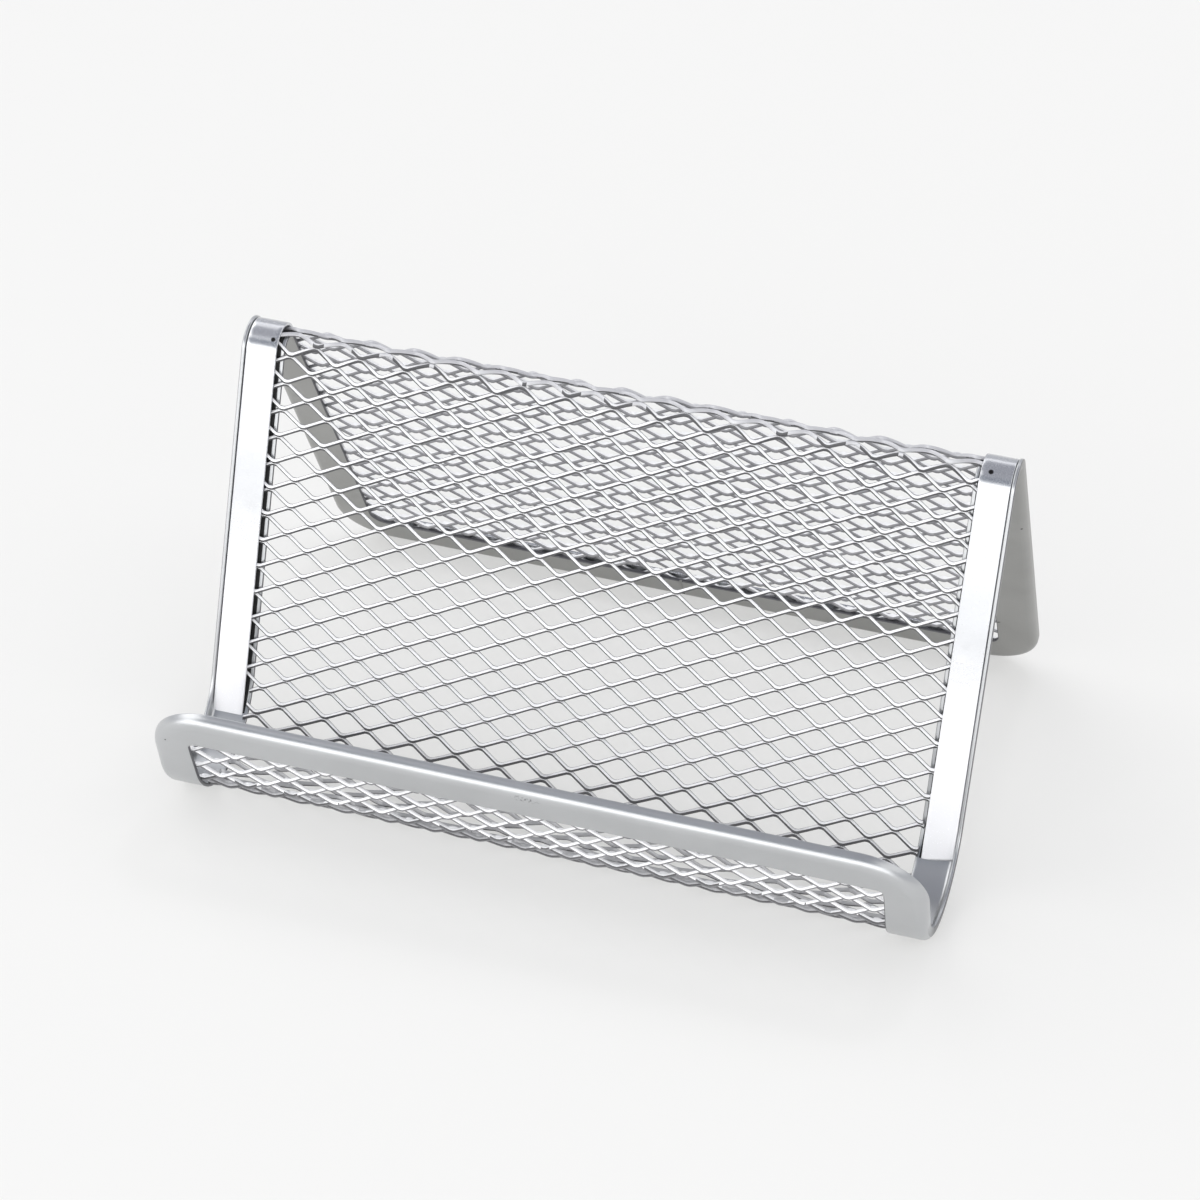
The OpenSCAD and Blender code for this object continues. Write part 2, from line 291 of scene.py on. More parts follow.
def paint(name, light, dark, metallic, rough, flake=0, grain=0, scuffs_and_shade_spots=(), foot=False, fades=()):
    """Satin silver paint: fine metal flake, slight orange peel, and soft patches where the coat is thicker.

    A fade is (y0, y1, w0, w1, tone): the tone's weight goes from w0 to w1 between two depths, in metres.
    """
    material = bpy.data.materials.new(name)
    material.use_nodes = True
    t = material.node_tree
    t.nodes.clear()
    out = node(t, "ShaderNodeOutputMaterial")
    shader = node(t, "ShaderNodeBsdfPrincipled")
    link(t, shader.outputs["BSDF"], out.inputs["Surface"])
    position = node(t, "ShaderNodeTexCoord").outputs["Object"]

    patches = remap(t, noise_tex(t, position, PATCH_SCALE, 3), 0.32, 0.68, 0, 1)
    color = blend(t, patches, dark, light)
    # the lip's scuff, and the dark spots painted as the shade in holes and pits
    for scuff in scuffs_and_shade_spots:
        color = scuff_or_shade_spot(t, position, color, *scuff)
    for y0, y1, w0, w1, tone in fades:
        color = blend(t, remap(t, axes(t, position)["Y"], y0, y1, w0, w1), color, tone)
    # the strips' foot is painted pale and nearly without metal, as a painted highlight
    if foot:
        low = foot_highlight_mask(t, position)
        color = blend(t, low, color, FOOT_HIGHLIGHT_TONE)
        link(t, remap(t, low, 0, 1, metallic, FOOT_HIGHLIGHT_METALLIC), shader.inputs["Metallic"])
    else:
        shader.inputs["Metallic"].default_value = metallic
    link(t, color, shader.inputs["Base Color"])

    flakes = noise_tex(t, position, FLAKE_SCALE, 2)
    level = remap(t, flakes, 0.3, 0.7, rough - ROUGH_RANGE, rough + ROUGH_RANGE)
    link(t, level, shader.inputs["Roughness"])
    peel = bump(t, noise_tex(t, position, PEEL_SCALE, 1), grain, PEEL_HEIGHT)
    link(t, bump(t, flakes, flake, FLAKE_HEIGHT, peel), shader.inputs["Normal"])
    return material


def spot(x, s, n, r):
    """A dark spot of radius r, painted as the shade in a hole or pit, drawn as a solid scuff."""
    return (place(x, s, n), (r * MM, r * MM, r * MM), (0.03, 0.03, 0.03), True)


# Dark spots painted as the shade in holes, weld pits and the rear seam.
SHADE_SPOTS = [spot(49.0, S_TOP + 1.8, STRIP_TOP, 0.38), spot(-48.4, S_TOP + 1.5, STRIP_TOP, 0.36),
         spot(51.8, S_REAR + 17.3, 0.0, 0.25), spot(47.3, S_REAR + 50.8, 0.0, 0.3),
         spot(-50.05, 5.6, 0.0, 0.16), spot(48.7, S_BACK - 2.8, STRIP_TOP - 0.3, 0.16),
         spot(0.0, S_END - 0.4, 0.0, 0.45)]
LIP_SCUFF = (place(0.0, 1.3, 0.0), (0.0023, 0.0008, 0.0007), (0.18, 0.18, 0.19), False)

# Depths of the top bend and of the valley, where the strands turn from painted light to painted shade.
crest_y = place(0, S_TOP, 0)[1], place(0, S_REAR, 0)[1]
valley_y = place(0, S_VALLEY, 0)[1], place(0, S_BACK, 0)[1]
VALLEY_RIM_TONE = (0.93, 0.93, 0.94)
crest_shade_fades = [(crest_y[0] - 0.0015, crest_y[0] + 0.001, 0, 1, (0.50, 0.50, 0.52)),
               (crest_y[1], crest_y[1] + 0.003, 0, 1, (0.94, 0.94, 0.95))]
# The valley's painted shade fades to the pale tone towards both ends of the valley.
valley_shade_fades = [(valley_y[0], valley_y[0] + 0.003, 1, 0, VALLEY_RIM_TONE),
                (valley_y[1] - 0.008, valley_y[1] - 0.002, 0, 1, VALLEY_RIM_TONE)]
# The painted shade on the outer side walls is paler towards the lip and towards the rear leg.
side_shade_fades = [(-0.0345, -0.029, 1, 0, (0.56, 0.57, 0.58)), (-0.001, 0.0045, 0, 1, (0.36, 0.36, 0.35))]

# The outside of the rim behind the lip is painted darker as shade, and the gap under the strips nearly
# black as their shadow. The strands are painted pale above as light, dark below as shade, and grey in
# the valley and over the top bend as painted shade.
sheet_paint = paint("silver_paint_sheet", light=(0.57, 0.58, 0.59), dark=(0.52, 0.53, 0.54),
                    metallic=0.9, rough=0.31, flake=0.05, grain=0.1, scuffs_and_shade_spots=[LIP_SCUFF] + SHADE_SPOTS)
strip_paint = paint("silver_paint_strips", light=(0.66, 0.67, 0.69), dark=(0.62, 0.63, 0.65),
                    metallic=0.9, rough=0.25, flake=0.02, grain=0.05, scuffs_and_shade_spots=SHADE_SPOTS, foot=True)
outside_shade_paint = paint("silver_paint_outside_painted_shade", light=(0.37, 0.37, 0.36), dark=(0.32, 0.32, 0.31),
                      metallic=0.8, rough=0.36, flake=0.1, grain=0.15, scuffs_and_shade_spots=SHADE_SPOTS)
# Painted shadow in the gap under the strips.
gap_shadow_paint = paint("painted_shadow_in_the_gap", light=(0.035, 0.035, 0.035), dark=(0.02, 0.02, 0.02),
                  metallic=0.3, rough=0.6, flake=0.2, grain=0.2)
# Painted shade on the rim's cut edge.
cut_edge_shade_paint = paint("silver_paint_cut_edges_painted_shade", light=(0.17, 0.17, 0.18), dark=(0.12, 0.12, 0.13),
                   metallic=0.8, rough=0.35, flake=0.08, grain=0.1)
# Painted shade on the outer side walls.
side_wall_shade_paint = paint("silver_paint_side_walls_painted_shade", light=(0.19, 0.19, 0.20), dark=(0.14, 0.14, 0.15),
                   metallic=0.8, rough=0.35, flake=0.05, grain=0.1, fades=side_shade_fades)
# The strands' upper faces are painted near white as light; over the top bend they are painted grey as shade.
lit_strand_paint = paint("silver_paint_strands_painted_light", light=(0.97, 0.97, 0.975), dark=(0.92, 0.92, 0.93),
                     metallic=0.12, rough=0.35, fades=crest_shade_fades)
# Painted shade on the strands: their undersides, torn zones, the rear leg's undersides and the valley.
underside_shade_paint = paint("silver_paint_undersides_painted_shade", light=(0.14, 0.14, 0.145), dark=(0.10, 0.10, 0.105),
                        metallic=0.5, rough=0.45)
torn_edge_shade_paint = paint("silver_paint_torn_edges_painted_shade", light=(0.30, 0.30, 0.31), dark=(0.22, 0.22, 0.23),
                   metallic=0.5, rough=0.45)
# Lighter painted shade on the undersides of the strands on the rear leg.
rear_underside_shade_paint = paint("silver_paint_rear_undersides_painted_shade", light=(0.36, 0.36, 0.375), dark=(0.29, 0.29, 0.305),
                   metallic=0.5, rough=0.4)
# Painted shade on the strands low in the valley.
valley_shade_paint = paint("silver_paint_valley_painted_shade", light=(0.52, 0.52, 0.53), dark=(0.44, 0.44, 0.45),
                     metallic=0.3, rough=0.4, fades=valley_shade_fades)
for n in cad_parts.values():
    n.data.materials.clear()
    n.data.materials.append(lit_strand_paint if n.name.startswith("mesh") else sheet_paint)


# Building.
def make(name, verts, faces, materials, slot, *stands_for):
    """A smooth piece that rides on the root body and stands for the given solids."""
    mesh = bpy.data.meshes.new(name)
    mesh.from_pydata(verts, [], faces)
    mesh.validate()
    mesh.update()
    mesh.polygons.foreach_set("use_smooth", [True] * len(mesh.polygons))
    for material in materials:
        mesh.materials.append(material)
    ob = bpy.data.objects.new(name, mesh)
    bpy.context.scene.collection.objects.link(ob)
    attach(ob, "root")
    if stands_for:
        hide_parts(*stands_for)
    normals = ob.modifiers.new("normals", "WEIGHTED_NORMAL")
    normals.mode = "FACE_AREA"
    normals.weight = 60
    return ob


def tube(rings, closed):
    """Faces between rings of vertices, with capped ends unless the run is closed."""
    k = len(rings[0])
    verts = [v for r in rings for v in r]
    faces = []
    count = len(rings)
    for i in range(count if closed else count - 1):
        a, b = i * k, ((i + 1) % count) * k
        for j in range(k):
            faces.append((a + j, a + (j + 1) % k, b + (j + 1) % k, b + j))
    if not closed:
        faces.append(tuple(reversed(range(k))))
        faces.append(tuple(range((count - 1) * k, count * k)))
    return verts, faces


def corner(cx, cy, r, a0, a1, steps):
    """Points on an arc of radius r about (cx, cy), from a0 to a1 degrees."""
    return [(cx + r * math.cos(rad(a0 + (a1 - a0) * i / steps)),
             cy + r * math.sin(rad(a0 + (a1 - a0) * i / steps))) for i in range(steps + 1)]


def dent(x, s, marks):
    """Depth at (x, s) of round spot marks, each (x, s, radius, depth)."""
    d = 0.0
    for mx, ms, r, depth in marks:
        q = ((x - mx) ** 2 + (s - ms) ** 2) / (r * r)
        if q < 4:
            d += depth * math.exp(-2.2 * q)
    return d


# Waves of the pressed sheet, as height, length and slice of the noise.
WAVES = [(0.035, 14, 0.3), (0.012, 4, 7.1)]


def wave(x, s):
    """Slight unevenness of the pressed sheet."""
    return sum(height * noise.noise(Vector((x / length, s / length, cut))) for height, length, cut in WAVES)


# The rim. Its outer fold is rounder than in the solid, most of all along the lip, and its smooth face
# lies a little inside the solid's. The gap is the stretch of its inner face beside the strips, painted
# dark as the shadow they cast.
ROUND_FOLD, ROUND_LIP, LIP_FADE = 1.15, 0.55, 6
EDGE_ROUND = 0.14
GAP_FROM, GAP_TO = 4.3, 5.12
FACE_LIFT, LIFT_BELOW, WAVE_RUN = 0.045, WALL - 0.5, 1.5
SEAM_HALF, SEAM_DEPTH, SEAM_FROM, SEAM_BELOW = 0.18, 0.25, 0.5, 0.2
SEAM_PLACES, SEAM_END = [0.0, 0.1, 0.15, 0.2], 0.6
REAR_TURN_STEP, LIP_TURN_STEP = 5, 3
RIM_MARKS = [(51.0, S_REAR + 17.3, 0.5, 0.25), (47.6, S_REAR + 50.8, 0.6, 0.25), (-49.6, 5.4, 0.6, 0.12),
             (49.4, 6.2, 0.6, 0.1), (-47.8, S_REAR + 50.2, 0.6, 0.25), (-50.4, S_REAR + 18.0, 0.5, 0.2)]

# The section's points on the flat face and round the outer fold, and which of its faces have which paint.
FACE_POINTS, FOLD_STEPS = 8, 10
SIDE_FROM = FACE_POINTS + 7
OUTSIDE_TO = FACE_POINTS + FOLD_STEPS + 2
CUT_EDGE_POINTS = 4
# The rim's paints: the silver, and darker ones painted as shade on its outside, in the gap under the strips,
# on the cut edge and on the outer side walls.
RIM_PAINTS = [sheet_paint, outside_shade_paint, gap_shadow_paint, cut_edge_shade_paint, side_wall_shade_paint]
SHEET_COAT, OUTSIDE_SHADE_COAT, GAP_SHADOW_COAT, EDGE_SHADE_COAT, SIDE_WALL_SHADE_COAT = range(len(RIM_PAINTS))
OUTSIDE_SHADE_FROM = S_VALLEY + 9
SIDE_SHADE_FROM, SIDE_SHADE_TO = S_VALLEY + 1, S_REAR + 2


def rim_section(r):
    """Section of the rim, a inwards from the outer edge and n off the smooth face, with outer fold r."""
    edge = EDGE_ROUND
    flat = RIM_FACE - edge
    pts = [(r + (flat - r) * i / FACE_POINTS, 0.0) for i in range(FACE_POINTS, 0, -1)]
    pts += corner(r, r, r, 270, 180, FOLD_STEPS)
    pts += corner(edge, WALL - edge, edge, 180, 90, 3)
    pts += corner(SHEET_T - edge, WALL - edge, edge, 90, 0, 3)
    pts += corner(r, r, r - SHEET_T, 180, 270, 6)
    pts += [(r + (GAP_FROM - r) * i / 4, SHEET_T) for i in range(1, 5)] + [(GAP_TO, SHEET_T)]
    pts += corner(flat, SHEET_T - edge, edge, 90, 0, 2)
    return pts + corner(flat, edge, edge, 0, -90, 2)[:-1]


def rim_coat(j, a, n, s, count):
    """The paint of the face after point j of count, at (a, n) of the section and s along the sheet."""
    # the cut edge of the flat face is painted dark as shade
    if j >= count - CUT_EDGE_POINTS:
        return EDGE_SHADE_COAT
    # the outer side walls along the valley, back rest and top bend are painted dark as shade
    if SIDE_FROM <= j <= OUTSIDE_TO and SIDE_SHADE_FROM < s < SIDE_SHADE_TO:
        return SIDE_WALL_SHADE_COAT
    # the rim's outside behind the lip is painted darker as shade
    if j < OUTSIDE_TO and s > OUTSIDE_SHADE_FROM:
        return OUTSIDE_SHADE_COAT
    # the stretch of the inner face under the strip's edge is painted black as its shadow
    if n == SHEET_T and a == GAP_FROM and s > S_FOOT:
        return GAP_SHADOW_COAT
    return SHEET_COAT


def face_width(r, turn):
    """Width of the flat face along a ray through the middle of a corner, turned from one of its rails."""
    half = r - RIM_FACE
    if half <= WINDOW_CORNER or r == REAR_CORNER:
        return RIM_FACE
    a = rad(turn if turn <= 45 else 90 - turn)
    ray = half / math.cos(a)
    k = half - WINDOW_CORNER
    if ray * math.sin(a) > k:
        dot = k * (math.cos(a) + math.sin(a))
        ray = dot + math.sqrt(max(0.0, dot * dot - 2 * k * k + WINDOW_CORNER * WINDOW_CORNER))
    return r - ray


def outline():
    """Outer edge of the flat rim, once round: (x, s, outward x, outward s, width of the face)."""
    out = []
    for x in SEAM_PLACES + span(SEAM_END, HALF - REAR_CORNER, FLAT_STEP):
        out.append((x, S_END, 0.0, 1.0, RIM_FACE))
    for a in span(90.0, 0.0, REAR_TURN_STEP):
        out.append((HALF - REAR_CORNER + REAR_CORNER * math.cos(rad(a)),
                    S_END - REAR_CORNER + REAR_CORNER * math.sin(rad(a)), math.cos(rad(a)), math.sin(rad(a)),
                    face_width(REAR_CORNER, a)))
    side = along(LIP_CORNER, S_END - REAR_CORNER)[::-1]
    for s in side[:-1]:
        out.append((HALF, s, 1.0, 0.0, RIM_FACE))
    for a in span(0.0, -90.0, LIP_TURN_STEP):
        out.append((HALF - LIP_CORNER + LIP_CORNER * math.cos(rad(a)),
                    LIP_CORNER + LIP_CORNER * math.sin(rad(a)), math.cos(rad(a)), math.sin(rad(a)),
                    face_width(LIP_CORNER, -a)))
    for x in span(HALF - LIP_CORNER, 0.0, FLAT_STEP):
        out.append((x, 0.0, 0.0, -1.0, RIM_FACE))
    half = out[1:]
    out.append((0.0, 0.0, 0.0, -1.0, RIM_FACE))
    for x, s, nx, ns, w in reversed(half):
        out.append((-x, s, -nx, ns, w))
    return out


def rim_ring(edge_x, edge_s, out_x, out_s, width):
    """One ring of the rim, and the paints of its faces."""
    fold = ROUND_FOLD + ROUND_LIP * min(1.0, max(0.0, 1 - (edge_s - LIP_CORNER) / LIP_FADE))
    section = rim_section(fold)
    ring, coats = [], []
    for j, (a, n) in enumerate(section):
        coats.append(rim_coat(j, a, n, edge_s, len(section)))
        if a > fold:
            a = fold + (a - fold) * (width - fold) / (RIM_FACE - fold)
        x, s = edge_x - a * out_x, edge_s - a * out_s
        lift = FACE_LIFT + wave(x, s) * min(1.0, a / WAVE_RUN) if n < LIFT_BELOW else 0.0
        # the seam, in the middle of the rear edge
        if out_s == 1.0 and abs(edge_x) < SEAM_HALF and n < SEAM_BELOW and a > SEAM_FROM:
            lift += SEAM_DEPTH
        ring.append(place(x, s, n + lift + dent(x, s, RIM_MARKS)))
    return ring, coats


def make_rim():
    rings, coats = [], []
    for edge in outline():
        ring, ring_coats = rim_ring(*edge)
        rings.append(ring)
        coats += ring_coats
    verts, faces = tube(rings, True)
    rim = make("rim", verts, faces, RIM_PAINTS, "silver_paint", "rim_frame")
    rim.data.polygons.foreach_set("material_index", coats)


make_rim()

# The strips. The shifts give each its own part of the waves. The left foot runs on further than the right.
STRIP_ROUND, STRIP_WIDER = 0.1, 0.1
STRIP_PARTS = 8
STRIP_WAVE, SIDE_SHIFT, CROSS_SHIFT, CROSS_STEP = 0.6, 200, 90, 1.5
FOOT_SLANT, SLANT_RUN = 0.2, 3
LEFT_FOOT_LONGER = 1.3
STRIP_MARKS = [(-48.7, S_BACK - 2.8, 0.25, 0.06), (-49.9, S_BACK + 3.9, 0.25, 0.06),
               (-49.3, S_BACK + 24, 0.3, 0.04)]


def strip_place(x, s, n):
    """Like place, but the foot runs on straight from the back rest and stands off the valley bend."""
    if s < S_BACK:
        return (x * MM, (back_start[0] + (s - S_BACK) * back_along[0] + n * back_off[0]) * MM,
                (back_start[1] + (s - S_BACK) * back_along[1] + n * back_off[1]) * MM)
    return place(x, s, n)


def side_strip(name, s0, s1, side, node_name):
    """Side strip from s0 to s1, with softly rounded edges and spot marks; side is -1 left and 1 right."""
    x0 = INSET - STRIP_WIDER - HALF
    r, wide = STRIP_ROUND, STRIP_W + STRIP_WIDER
    sec = [(x0 + wide - r - (wide - 2 * r) * i / STRIP_PARTS, STRIP_BOTTOM) for i in range(STRIP_PARTS)]
    sec += corner(x0 + r, STRIP_BOTTOM + r, r, 270, 180, 2)
    sec += corner(x0 + r, STRIP_TOP - r, r, 180, 90, 2)
    sec += [(x0 + r + (wide - 2 * r) * i / STRIP_PARTS, STRIP_TOP) for i in range(1, STRIP_PARTS)]
    sec += corner(x0 + wide - r, STRIP_TOP - r, r, 90, 0, 2)
    sec += corner(x0 + wide - r, STRIP_BOTTOM + r, r, 0, -90, 2)[:-1]
    rings = []
    middle = x0 + wide / 2
    for s in along(s0, s1):
        ring = []
        for x, n in sec:
            # the foot is sheared a little out of square
            slant = FOOT_SLANT * (middle - x) * max(0.0, 1 - (s - s0) / SLANT_RUN)
            lift = STRIP_WAVE * wave(x + side * SIDE_SHIFT, s) - dent(x, s, STRIP_MARKS)
            ring.append(strip_place(x * -side, s + slant, n + lift))
        rings.append(ring if side < 0 else ring[::-1])
    make(name, *tube(rings, False), [strip_paint], "silver_paint", node_name)


def cross_strip(name, s0, reach, node_name):
    """Strip across the sheet, from s0 on, that reaches equally far to both sides."""
    r, s1 = STRIP_ROUND, s0 + STRIP_W
    sec = corner(s0 + r, STRIP_BOTTOM + r, r, 270, 180, 2)
    sec += corner(s0 + r, STRIP_TOP - r, r, 180, 90, 2)
    sec += corner(s1 - r, STRIP_TOP - r, r, 90, 0, 2)
    sec += corner(s1 - r, STRIP_BOTTOM + r, r, 0, -90, 2)
    rings = []
    for x in span(-reach, reach, CROSS_STEP) + [reach]:
        rings.append([place(x, s, n + STRIP_WAVE * wave(x, s + CROSS_SHIFT)) for s, n in sec][::-1])
    make(name, *tube(rings, False), [strip_paint], "silver_paint", node_name)


side_strip("strip_left", S_FOOT - LEFT_FOOT_LONGER, S_END - REAR_CORNER, -1, "side_strip_left")
side_strip("strip_right", S_FOOT, S_END - REAR_CORNER, 1, "side_strip_right")
cross_strip("strip_lip", INSET, HALF - LIP_CORNER, "lip_strip")
cross_strip("strip_rear", S_END - INSET - STRIP_W, HALF - REAR_CORNER, "rear_strip")

# The expanded metal: bars that zigzag between two rows of openings, tilted as they are torn.
BAR_W, BAR_T, TILT = 0.57, 0.50, rad(-45)
# TORN_LOW and TORN_HIGH mark off the torn zones of the bars' cut faces, which are painted dark as shade.
CHAMFER, TORN_LOW, TORN_HIGH = 0.05, 0.06, 0.15
TORN_CORNERS = ({2, 3, 4}, {9, 0, 1})
HALF_LONG, ROW = OPENING_LONG / 2, OPENING_SHORT / 2
REACH_V = BAR_W / 2 * math.cos(TILT)
REACH_N = BAR_W / 2 * math.sin(TILT)

# The zigzag: half of a bond's length, the shares of straight and of rounded rise, and the places of the
# rings on half an opening. Then the bars' unevenness, and how many more are tried than fit the sheet.
BOND = 0.24
SHARP, ROUNDED = 0.93, 0.07
STEPS = [0.0, 0.1, 0.17, 0.3, 0.5, 0.7, 0.83, 0.9]
UNEVEN, UNEVEN_LENGTH = 0.02, 5
SPARE_BARS, SPARE_COLUMNS = 4, 3

# Room between the mesh and the rim's edge, fold and corners, and its shorter lap in the valley.
END_ROOM, FOLD_ROOM, CORNER_ROOM, LAP_ROOM = 1.6, 0.6, 1.3, 0.45
LAP_FROM = S_VALLEY - 0.3
# The strands' paints: a pale one painted as light on faces that look up, and darker ones painted as shade on
# the undersides, the torn zones, the rear leg's undersides and low in the valley.
MESH_PAINTS = [lit_strand_paint, underside_shade_paint, torn_edge_shade_paint, rear_underside_shade_paint, valley_shade_paint]
LIT_STRAND_COAT, UNDERSIDE_SHADE_COAT, TORN_SHADE_COAT, REAR_SHADE_COAT, VALLEY_SHADE_COAT = range(len(MESH_PAINTS))
UNDERSIDE_SLOPE = 0.25
REAR_SHADE_Y = crest_y[1] - 0.0005
VALLEY_SHADE_Z = 5 * MM


def limit(s):
    """Half width of the mesh at a place along the sheet."""
    if LAP_FROM < s < S_BACK:
        return HALF - RIM_FACE + VALLEY_LAP - LAP_ROOM
    for r, d in ((LIP_CORNER, s), (REAR_CORNER, S_END - s)):
        if d < r:
            reach = (r - CORNER_ROOM) ** 2 - (r - d) ** 2
            return HALF - r + math.sqrt(reach) if reach > 0 else 0.0
    return HALF - INSET - FOLD_ROOM


def bar_section():
    """Section of a bar, turned by its tilt: (across the bars, off the face)."""
    c = CHAMFER
    w, t = BAR_W / 2, BAR_T / 2
    pts = [(-w, -t + c), (-w + c, -t), (w - c, -t), (w, -t + c), (w, -t + c + TORN_LOW), (w, t - c),
           (w - c, t), (-w + c, t), (-w, t - c), (-w, -t + c + TORN_HIGH)]
    ct, st = math.cos(TILT), math.sin(TILT)
    return [(v * ct + n * st, -v * st + n * ct) for v, n in pts]


BAR = bar_section()


def zigzag(f):
    """From 0 at a trough's middle to 1 at a peak's, with a flat at each bond and rounded turns."""
    k = BOND / HALF_LONG
    g = (f - k) / (1 - 2 * k)
    g = min(1.0, max(0.0, g))
    soft = 0.5 - 0.5 * math.cos(math.pi * g)
    return SHARP * g + ROUNDED * soft


def flat_point(u, v):
    """A point of the lattice, u along its bars and v across them, on the flat sheet."""
    c, n = math.cos(rad(MESH_SKEW)), math.sin(rad(MESH_SKEW))
    return (u * c + v * n + MESH_SHIFT, v * c - u * n + S_END / 2 + MESH_RISE)


def bar_line(m, columns):
    """Middle line of bar m, whose peaks lie where it joins bar m + 1, between two openings of a row."""
    for h in range(-columns, columns + 1):
        rising = (h + m) % 2 == 1
        for f in STEPS:
            g = zigzag(f if rising else 1 - f)
            yield ((h + f) * HALF_LONG, m * ROW + REACH_V + g * (ROW - 2 * REACH_V),
                   -REACH_N + g * 2 * REACH_N)


def bar_runs(m, columns):
    """Rings of bar m, in the runs that lie inside the rim."""
    run = []
    for u, v, n in bar_line(m, columns):
        x, s = flat_point(u, v)
        if abs(x) < limit(s) and END_ROOM < s < S_END - END_ROOM:
            lift = UNEVEN * noise.noise(Vector((u / UNEVEN_LENGTH, v / UNEVEN_LENGTH, 2.0)))
            run.append([place(*flat_point(u, v + dv), MESH_MIDDLE + n + dn + lift) for dv, dn in BAR])
        elif run:
            yield run
            run = []
    if run:
        yield run


def strand_coat(face):
    """The paint of a face of the mesh, by its place on the bar, its slope and where it lies, as painted
    light or shade.
    """
    corners = {v % len(BAR) for v in face.vertices}
    if len(corners) == 2 and any(corners <= torn for torn in TORN_CORNERS):
        return TORN_SHADE_COAT
    # faces that look down are painted dark as shade, lighter on the rear leg
    if face.normal.z < UNDERSIDE_SLOPE:
        return REAR_SHADE_COAT if face.center.y > REAR_SHADE_Y else UNDERSIDE_SHADE_COAT
    # strands that look up low in the valley are painted grey as shade
    in_valley = valley_y[0] < face.center.y < valley_y[1] and face.center.z < VALLEY_SHADE_Z
    return VALLEY_SHADE_COAT if in_valley else LIT_STRAND_COAT


def make_mesh():
    verts, faces = [], []
    bars = math.ceil(S_END / 2 / ROW) + SPARE_BARS
    columns = math.ceil(HALF / HALF_LONG) + SPARE_COLUMNS
    for m in range(-bars, bars + 1):
        for run in bar_runs(m, columns):
            if len(run) > 2:
                run_verts, run_faces = tube(run, False)
                base = len(verts)
                verts += run_verts
                faces += [tuple(i + base for i in face) for face in run_faces]
    mesh = make("expanded_sheet", verts, faces, MESH_PAINTS, "silver_paint_mesh",
                "mesh_lip", "mesh_valley", "mesh_back_rest", "mesh_top_bend", "mesh_rear_leg")
    mesh.data.polygons.foreach_set("material_index", [strand_coat(face) for face in mesh.data.polygons])


make_mesh()

# The floor. Part of what the camera and the reflections see of it is glow, so that it stays pale.
FLOOR_HALF, FLOOR_GLOW = 4.0, 0.5


def floor_paint():
    material = bpy.data.materials.new("studio_floor")
    material.use_nodes = True
    t = material.node_tree
    shader = t.nodes["Principled BSDF"]
    shader.inputs["Base Color"].default_value = (0.755, 0.75, 0.737, 1)
    shader.inputs["Roughness"].default_value = 0.85
    shader.inputs["Specular IOR Level"].default_value = 0.1
    glow = node(t, "ShaderNodeEmission")
    glow.inputs["Color"].default_value = (0.96, 0.96, 0.95, 1)
    rays = node(t, "ShaderNodeLightPath").outputs
    seen = maths(t, "ADD", rays["Is Camera Ray"], rays["Is Glossy Ray"], clamp=True)
    seen = maths(t, "ADD", seen, rays["Is Transmission Ray"], clamp=True)
    mix = node(t, "ShaderNodeMixShader")
    link(t, maths(t, "MULTIPLY", seen, FLOOR_GLOW), mix.inputs[0])
    link(t, shader.outputs[0], mix.inputs[1])
    link(t, glow.outputs[0], mix.inputs[2])
    link(t, mix.outputs[0], t.nodes["Material Output"].inputs["Surface"])
    return material


def make_floor():
    r = FLOOR_HALF
    mesh = bpy.data.meshes.new("floor")
    mesh.from_pydata([(-r, -r, 0), (r, -r, 0), (r, r, 0), (-r, r, 0)], [], [(0, 1, 2, 3)])
    mesh.materials.append(floor_paint())
    floor = bpy.data.objects.new("floor", mesh)
    bpy.context.scene.collection.objects.link(floor)


make_floor()


# The light.
def above(t, value, a, b):
    """0 below a and 1 above b, with a smooth passage."""
    return remap(t, value, a, b, 0, 1, interpolation_type="SMOOTHSTEP")


def below(t, value, a, b):
    """1 below a and 0 above b, with a smooth passage."""
    return maths(t, "SUBTRACT", 1.0, above(t, value, a, b))


def times(t, *masks):
    out = masks[0]
    for mask in masks[1:]:
        out = maths(t, "MULTIPLY", out, mask)
    return out


# Ahead is turned to the left by so many degrees. The grey goes from the horizon to the zenith.
AHEAD_TURN = 13
LOW_GREY, ZENITH_GREY = (0.66, 0.67, 0.70), (0.34, 0.35, 0.40)


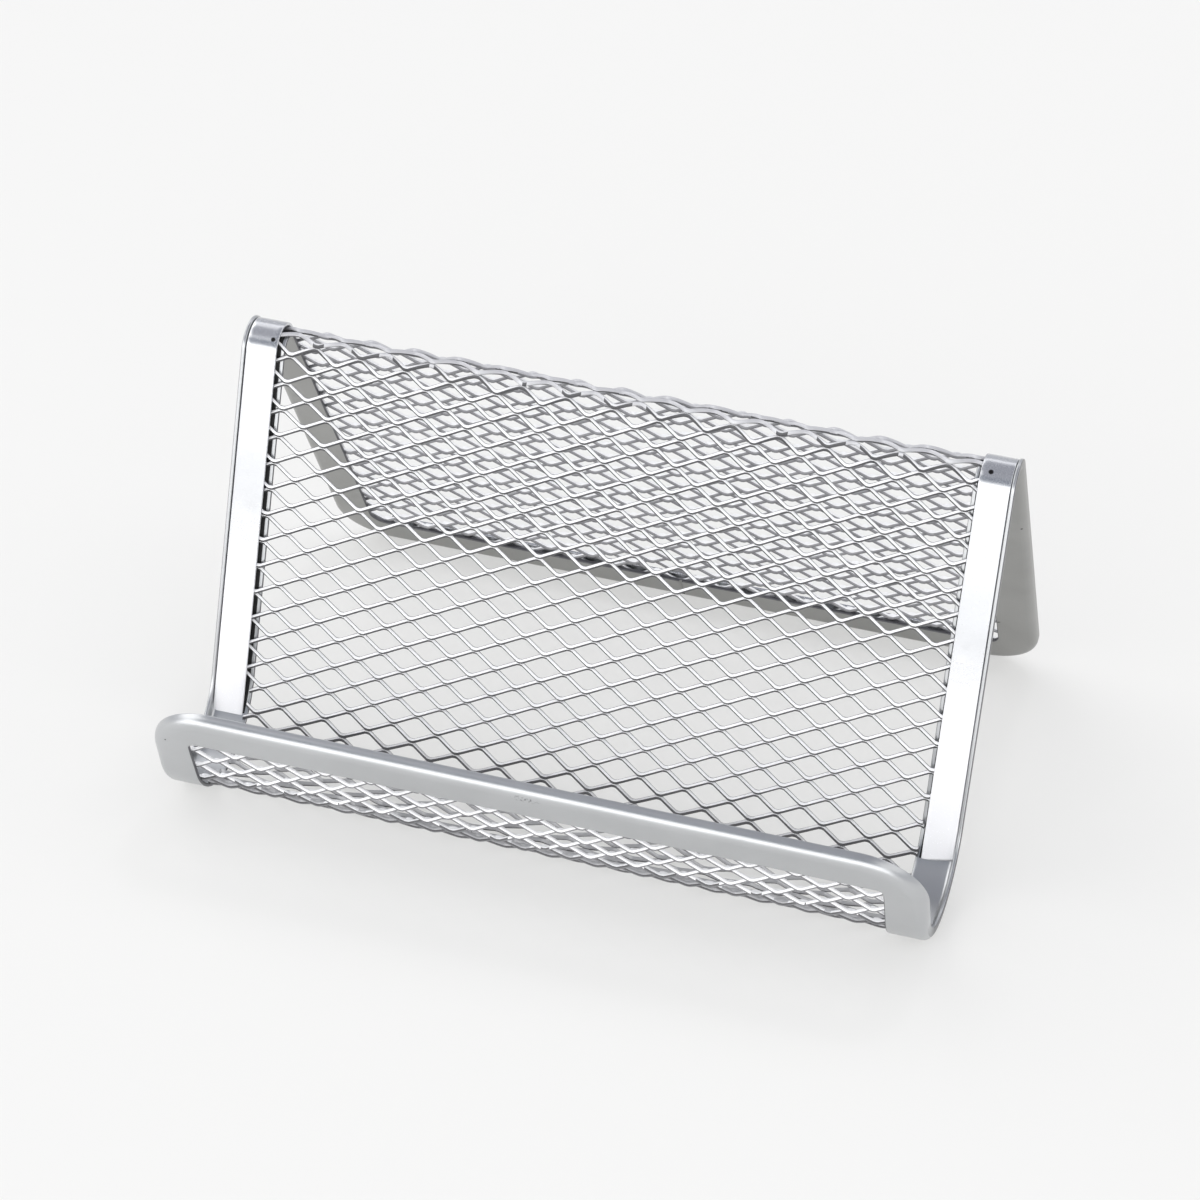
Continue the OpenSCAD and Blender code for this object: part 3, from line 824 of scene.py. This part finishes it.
def studio_world():
    """Grey surroundings with a pale box left, right and behind, and a bright band below a dark one ahead."""
    world = bpy.data.worlds.new("studio")
    bpy.context.scene.world = world
    world.use_nodes = True
    t = world.node_tree
    t.nodes.clear()
    out = node(t, "ShaderNodeOutputWorld")
    background = node(t, "ShaderNodeBackground")
    link(t, background.outputs["Background"], out.inputs["Surface"])
    x, y, z = axes(t, node(t, "ShaderNodeTexCoord").outputs["Generated"])

    # the compass direction, as how far it points to the right and ahead of the stand, safe straight up
    level = maths(t, "SQRT", maths(t, "ADD", maths(t, "MULTIPLY", x, x), maths(t, "MULTIPLY", y, y)))
    level = maths(t, "MAXIMUM", level, 0.001)
    to_right = maths(t, "DIVIDE", x, level)
    ahead = maths(t, "ADD", maths(t, "MULTIPLY", x, -math.sin(rad(AHEAD_TURN))),
                  maths(t, "MULTIPLY", y, -math.cos(rad(AHEAD_TURN))))
    ahead = maths(t, "DIVIDE", ahead, level)
    behind = maths(t, "MULTIPLY", ahead, -1.0)

    box_height = times(t, above(t, z, 0.36, 0.46), below(t, z, 0.80, 0.88))
    left_box = times(t, below(t, to_right, -0.62, -0.45), box_height)
    right_box = times(t, above(t, to_right, 0.45, 0.62), box_height)
    rear_box = times(t, above(t, behind, 0.5, 0.75), above(t, z, 0.58, 0.64), below(t, z, 0.74, 0.80))
    dusk = times(t, above(t, ahead, 0.62, 0.88), above(t, z, 0.42, 0.56), below(t, z, 0.68, 0.86))
    horizon = times(t, above(t, ahead, 0.45, 0.75), below(t, z, 0.36, 0.52))
    color = blend(t, above(t, z, 0.1, 0.95), LOW_GREY, ZENITH_GREY)
    lights = [(left_box, (2.1, 2.1, 2.1)), (right_box, (1.2, 1.2, 1.2)), (rear_box, (1.5, 1.5, 1.55)),
              (dusk, (0.16, 0.19, 0.25)), (horizon, (2.5, 2.5, 2.5))]
    for mask, tone in lights:
        color = blend(t, mask, color, tone)
    link(t, color, background.inputs["Color"])
    background.inputs["Strength"].default_value = 1.0


def lamp(name, size, power, at, to):
    """A rectangular lamp that lights the scene but doesn't show in reflections."""
    light = bpy.data.lights.new(name, "AREA")
    light.shape = "RECTANGLE"
    light.size, light.size_y = size
    light.energy = power
    ob = bpy.data.objects.new(name, light)
    ob.location = at
    ob.rotation_euler = (Vector(to) - Vector(at)).to_track_quat("-Z", "Y").to_euler()
    ob.visible_glossy = False
    bpy.context.scene.collection.objects.link(ob)


studio_world()
lamp("overhead", (1.2, 0.9), 1.7, (-0.15, 0.25, 1.1), (0, 0, 0))
lamp("front_fill", (0.8, 0.4), 1.8, (-0.1, -0.75, 0.62), (0, 0, 0.02))
lamp("spot_behind", (0.1, 0.1), 0.5, (0.05, 0.45, 0.75), (0, 0, 0))

# The camera, fitted to the object's outline in the photograph: angles in radians, lengths in metres.
AZIMUTH, ELEVATION, ROLL, DISTANCE = 0.26757, 0.59291, 0.04498, 0.55391
TARGET = Vector((-0.0021852, 0, 0.0230145))
FOCAL_PIXELS, PHOTO_PIXELS, SENSOR = 4106.76, 1200, 36


def make_camera():
    back = Vector((math.sin(AZIMUTH) * math.cos(ELEVATION), -math.cos(AZIMUTH) * math.cos(ELEVATION),
                   math.sin(ELEVATION)))
    level_right = (-back).cross(Vector((0, 0, 1))).normalized()
    level_up = level_right.cross(-back)
    right = math.cos(ROLL) * level_right + math.sin(ROLL) * level_up
    up = -math.sin(ROLL) * level_right + math.cos(ROLL) * level_up
    at = TARGET + DISTANCE * back
    cam = bpy.data.cameras.new("camera")
    cam.sensor_width = SENSOR
    cam.lens = FOCAL_PIXELS / PHOTO_PIXELS * SENSOR
    cam.clip_start = 0.01
    cam.clip_end = 20
    ob = bpy.data.objects.new("camera", cam)
    ob.matrix_world = Matrix((*((right[i], up[i], back[i], at[i]) for i in range(3)), (0, 0, 0, 1)))
    bpy.context.scene.collection.objects.link(ob)
    bpy.context.scene.camera = ob


make_camera()
bpy.context.scene.view_settings.view_transform = "Standard"
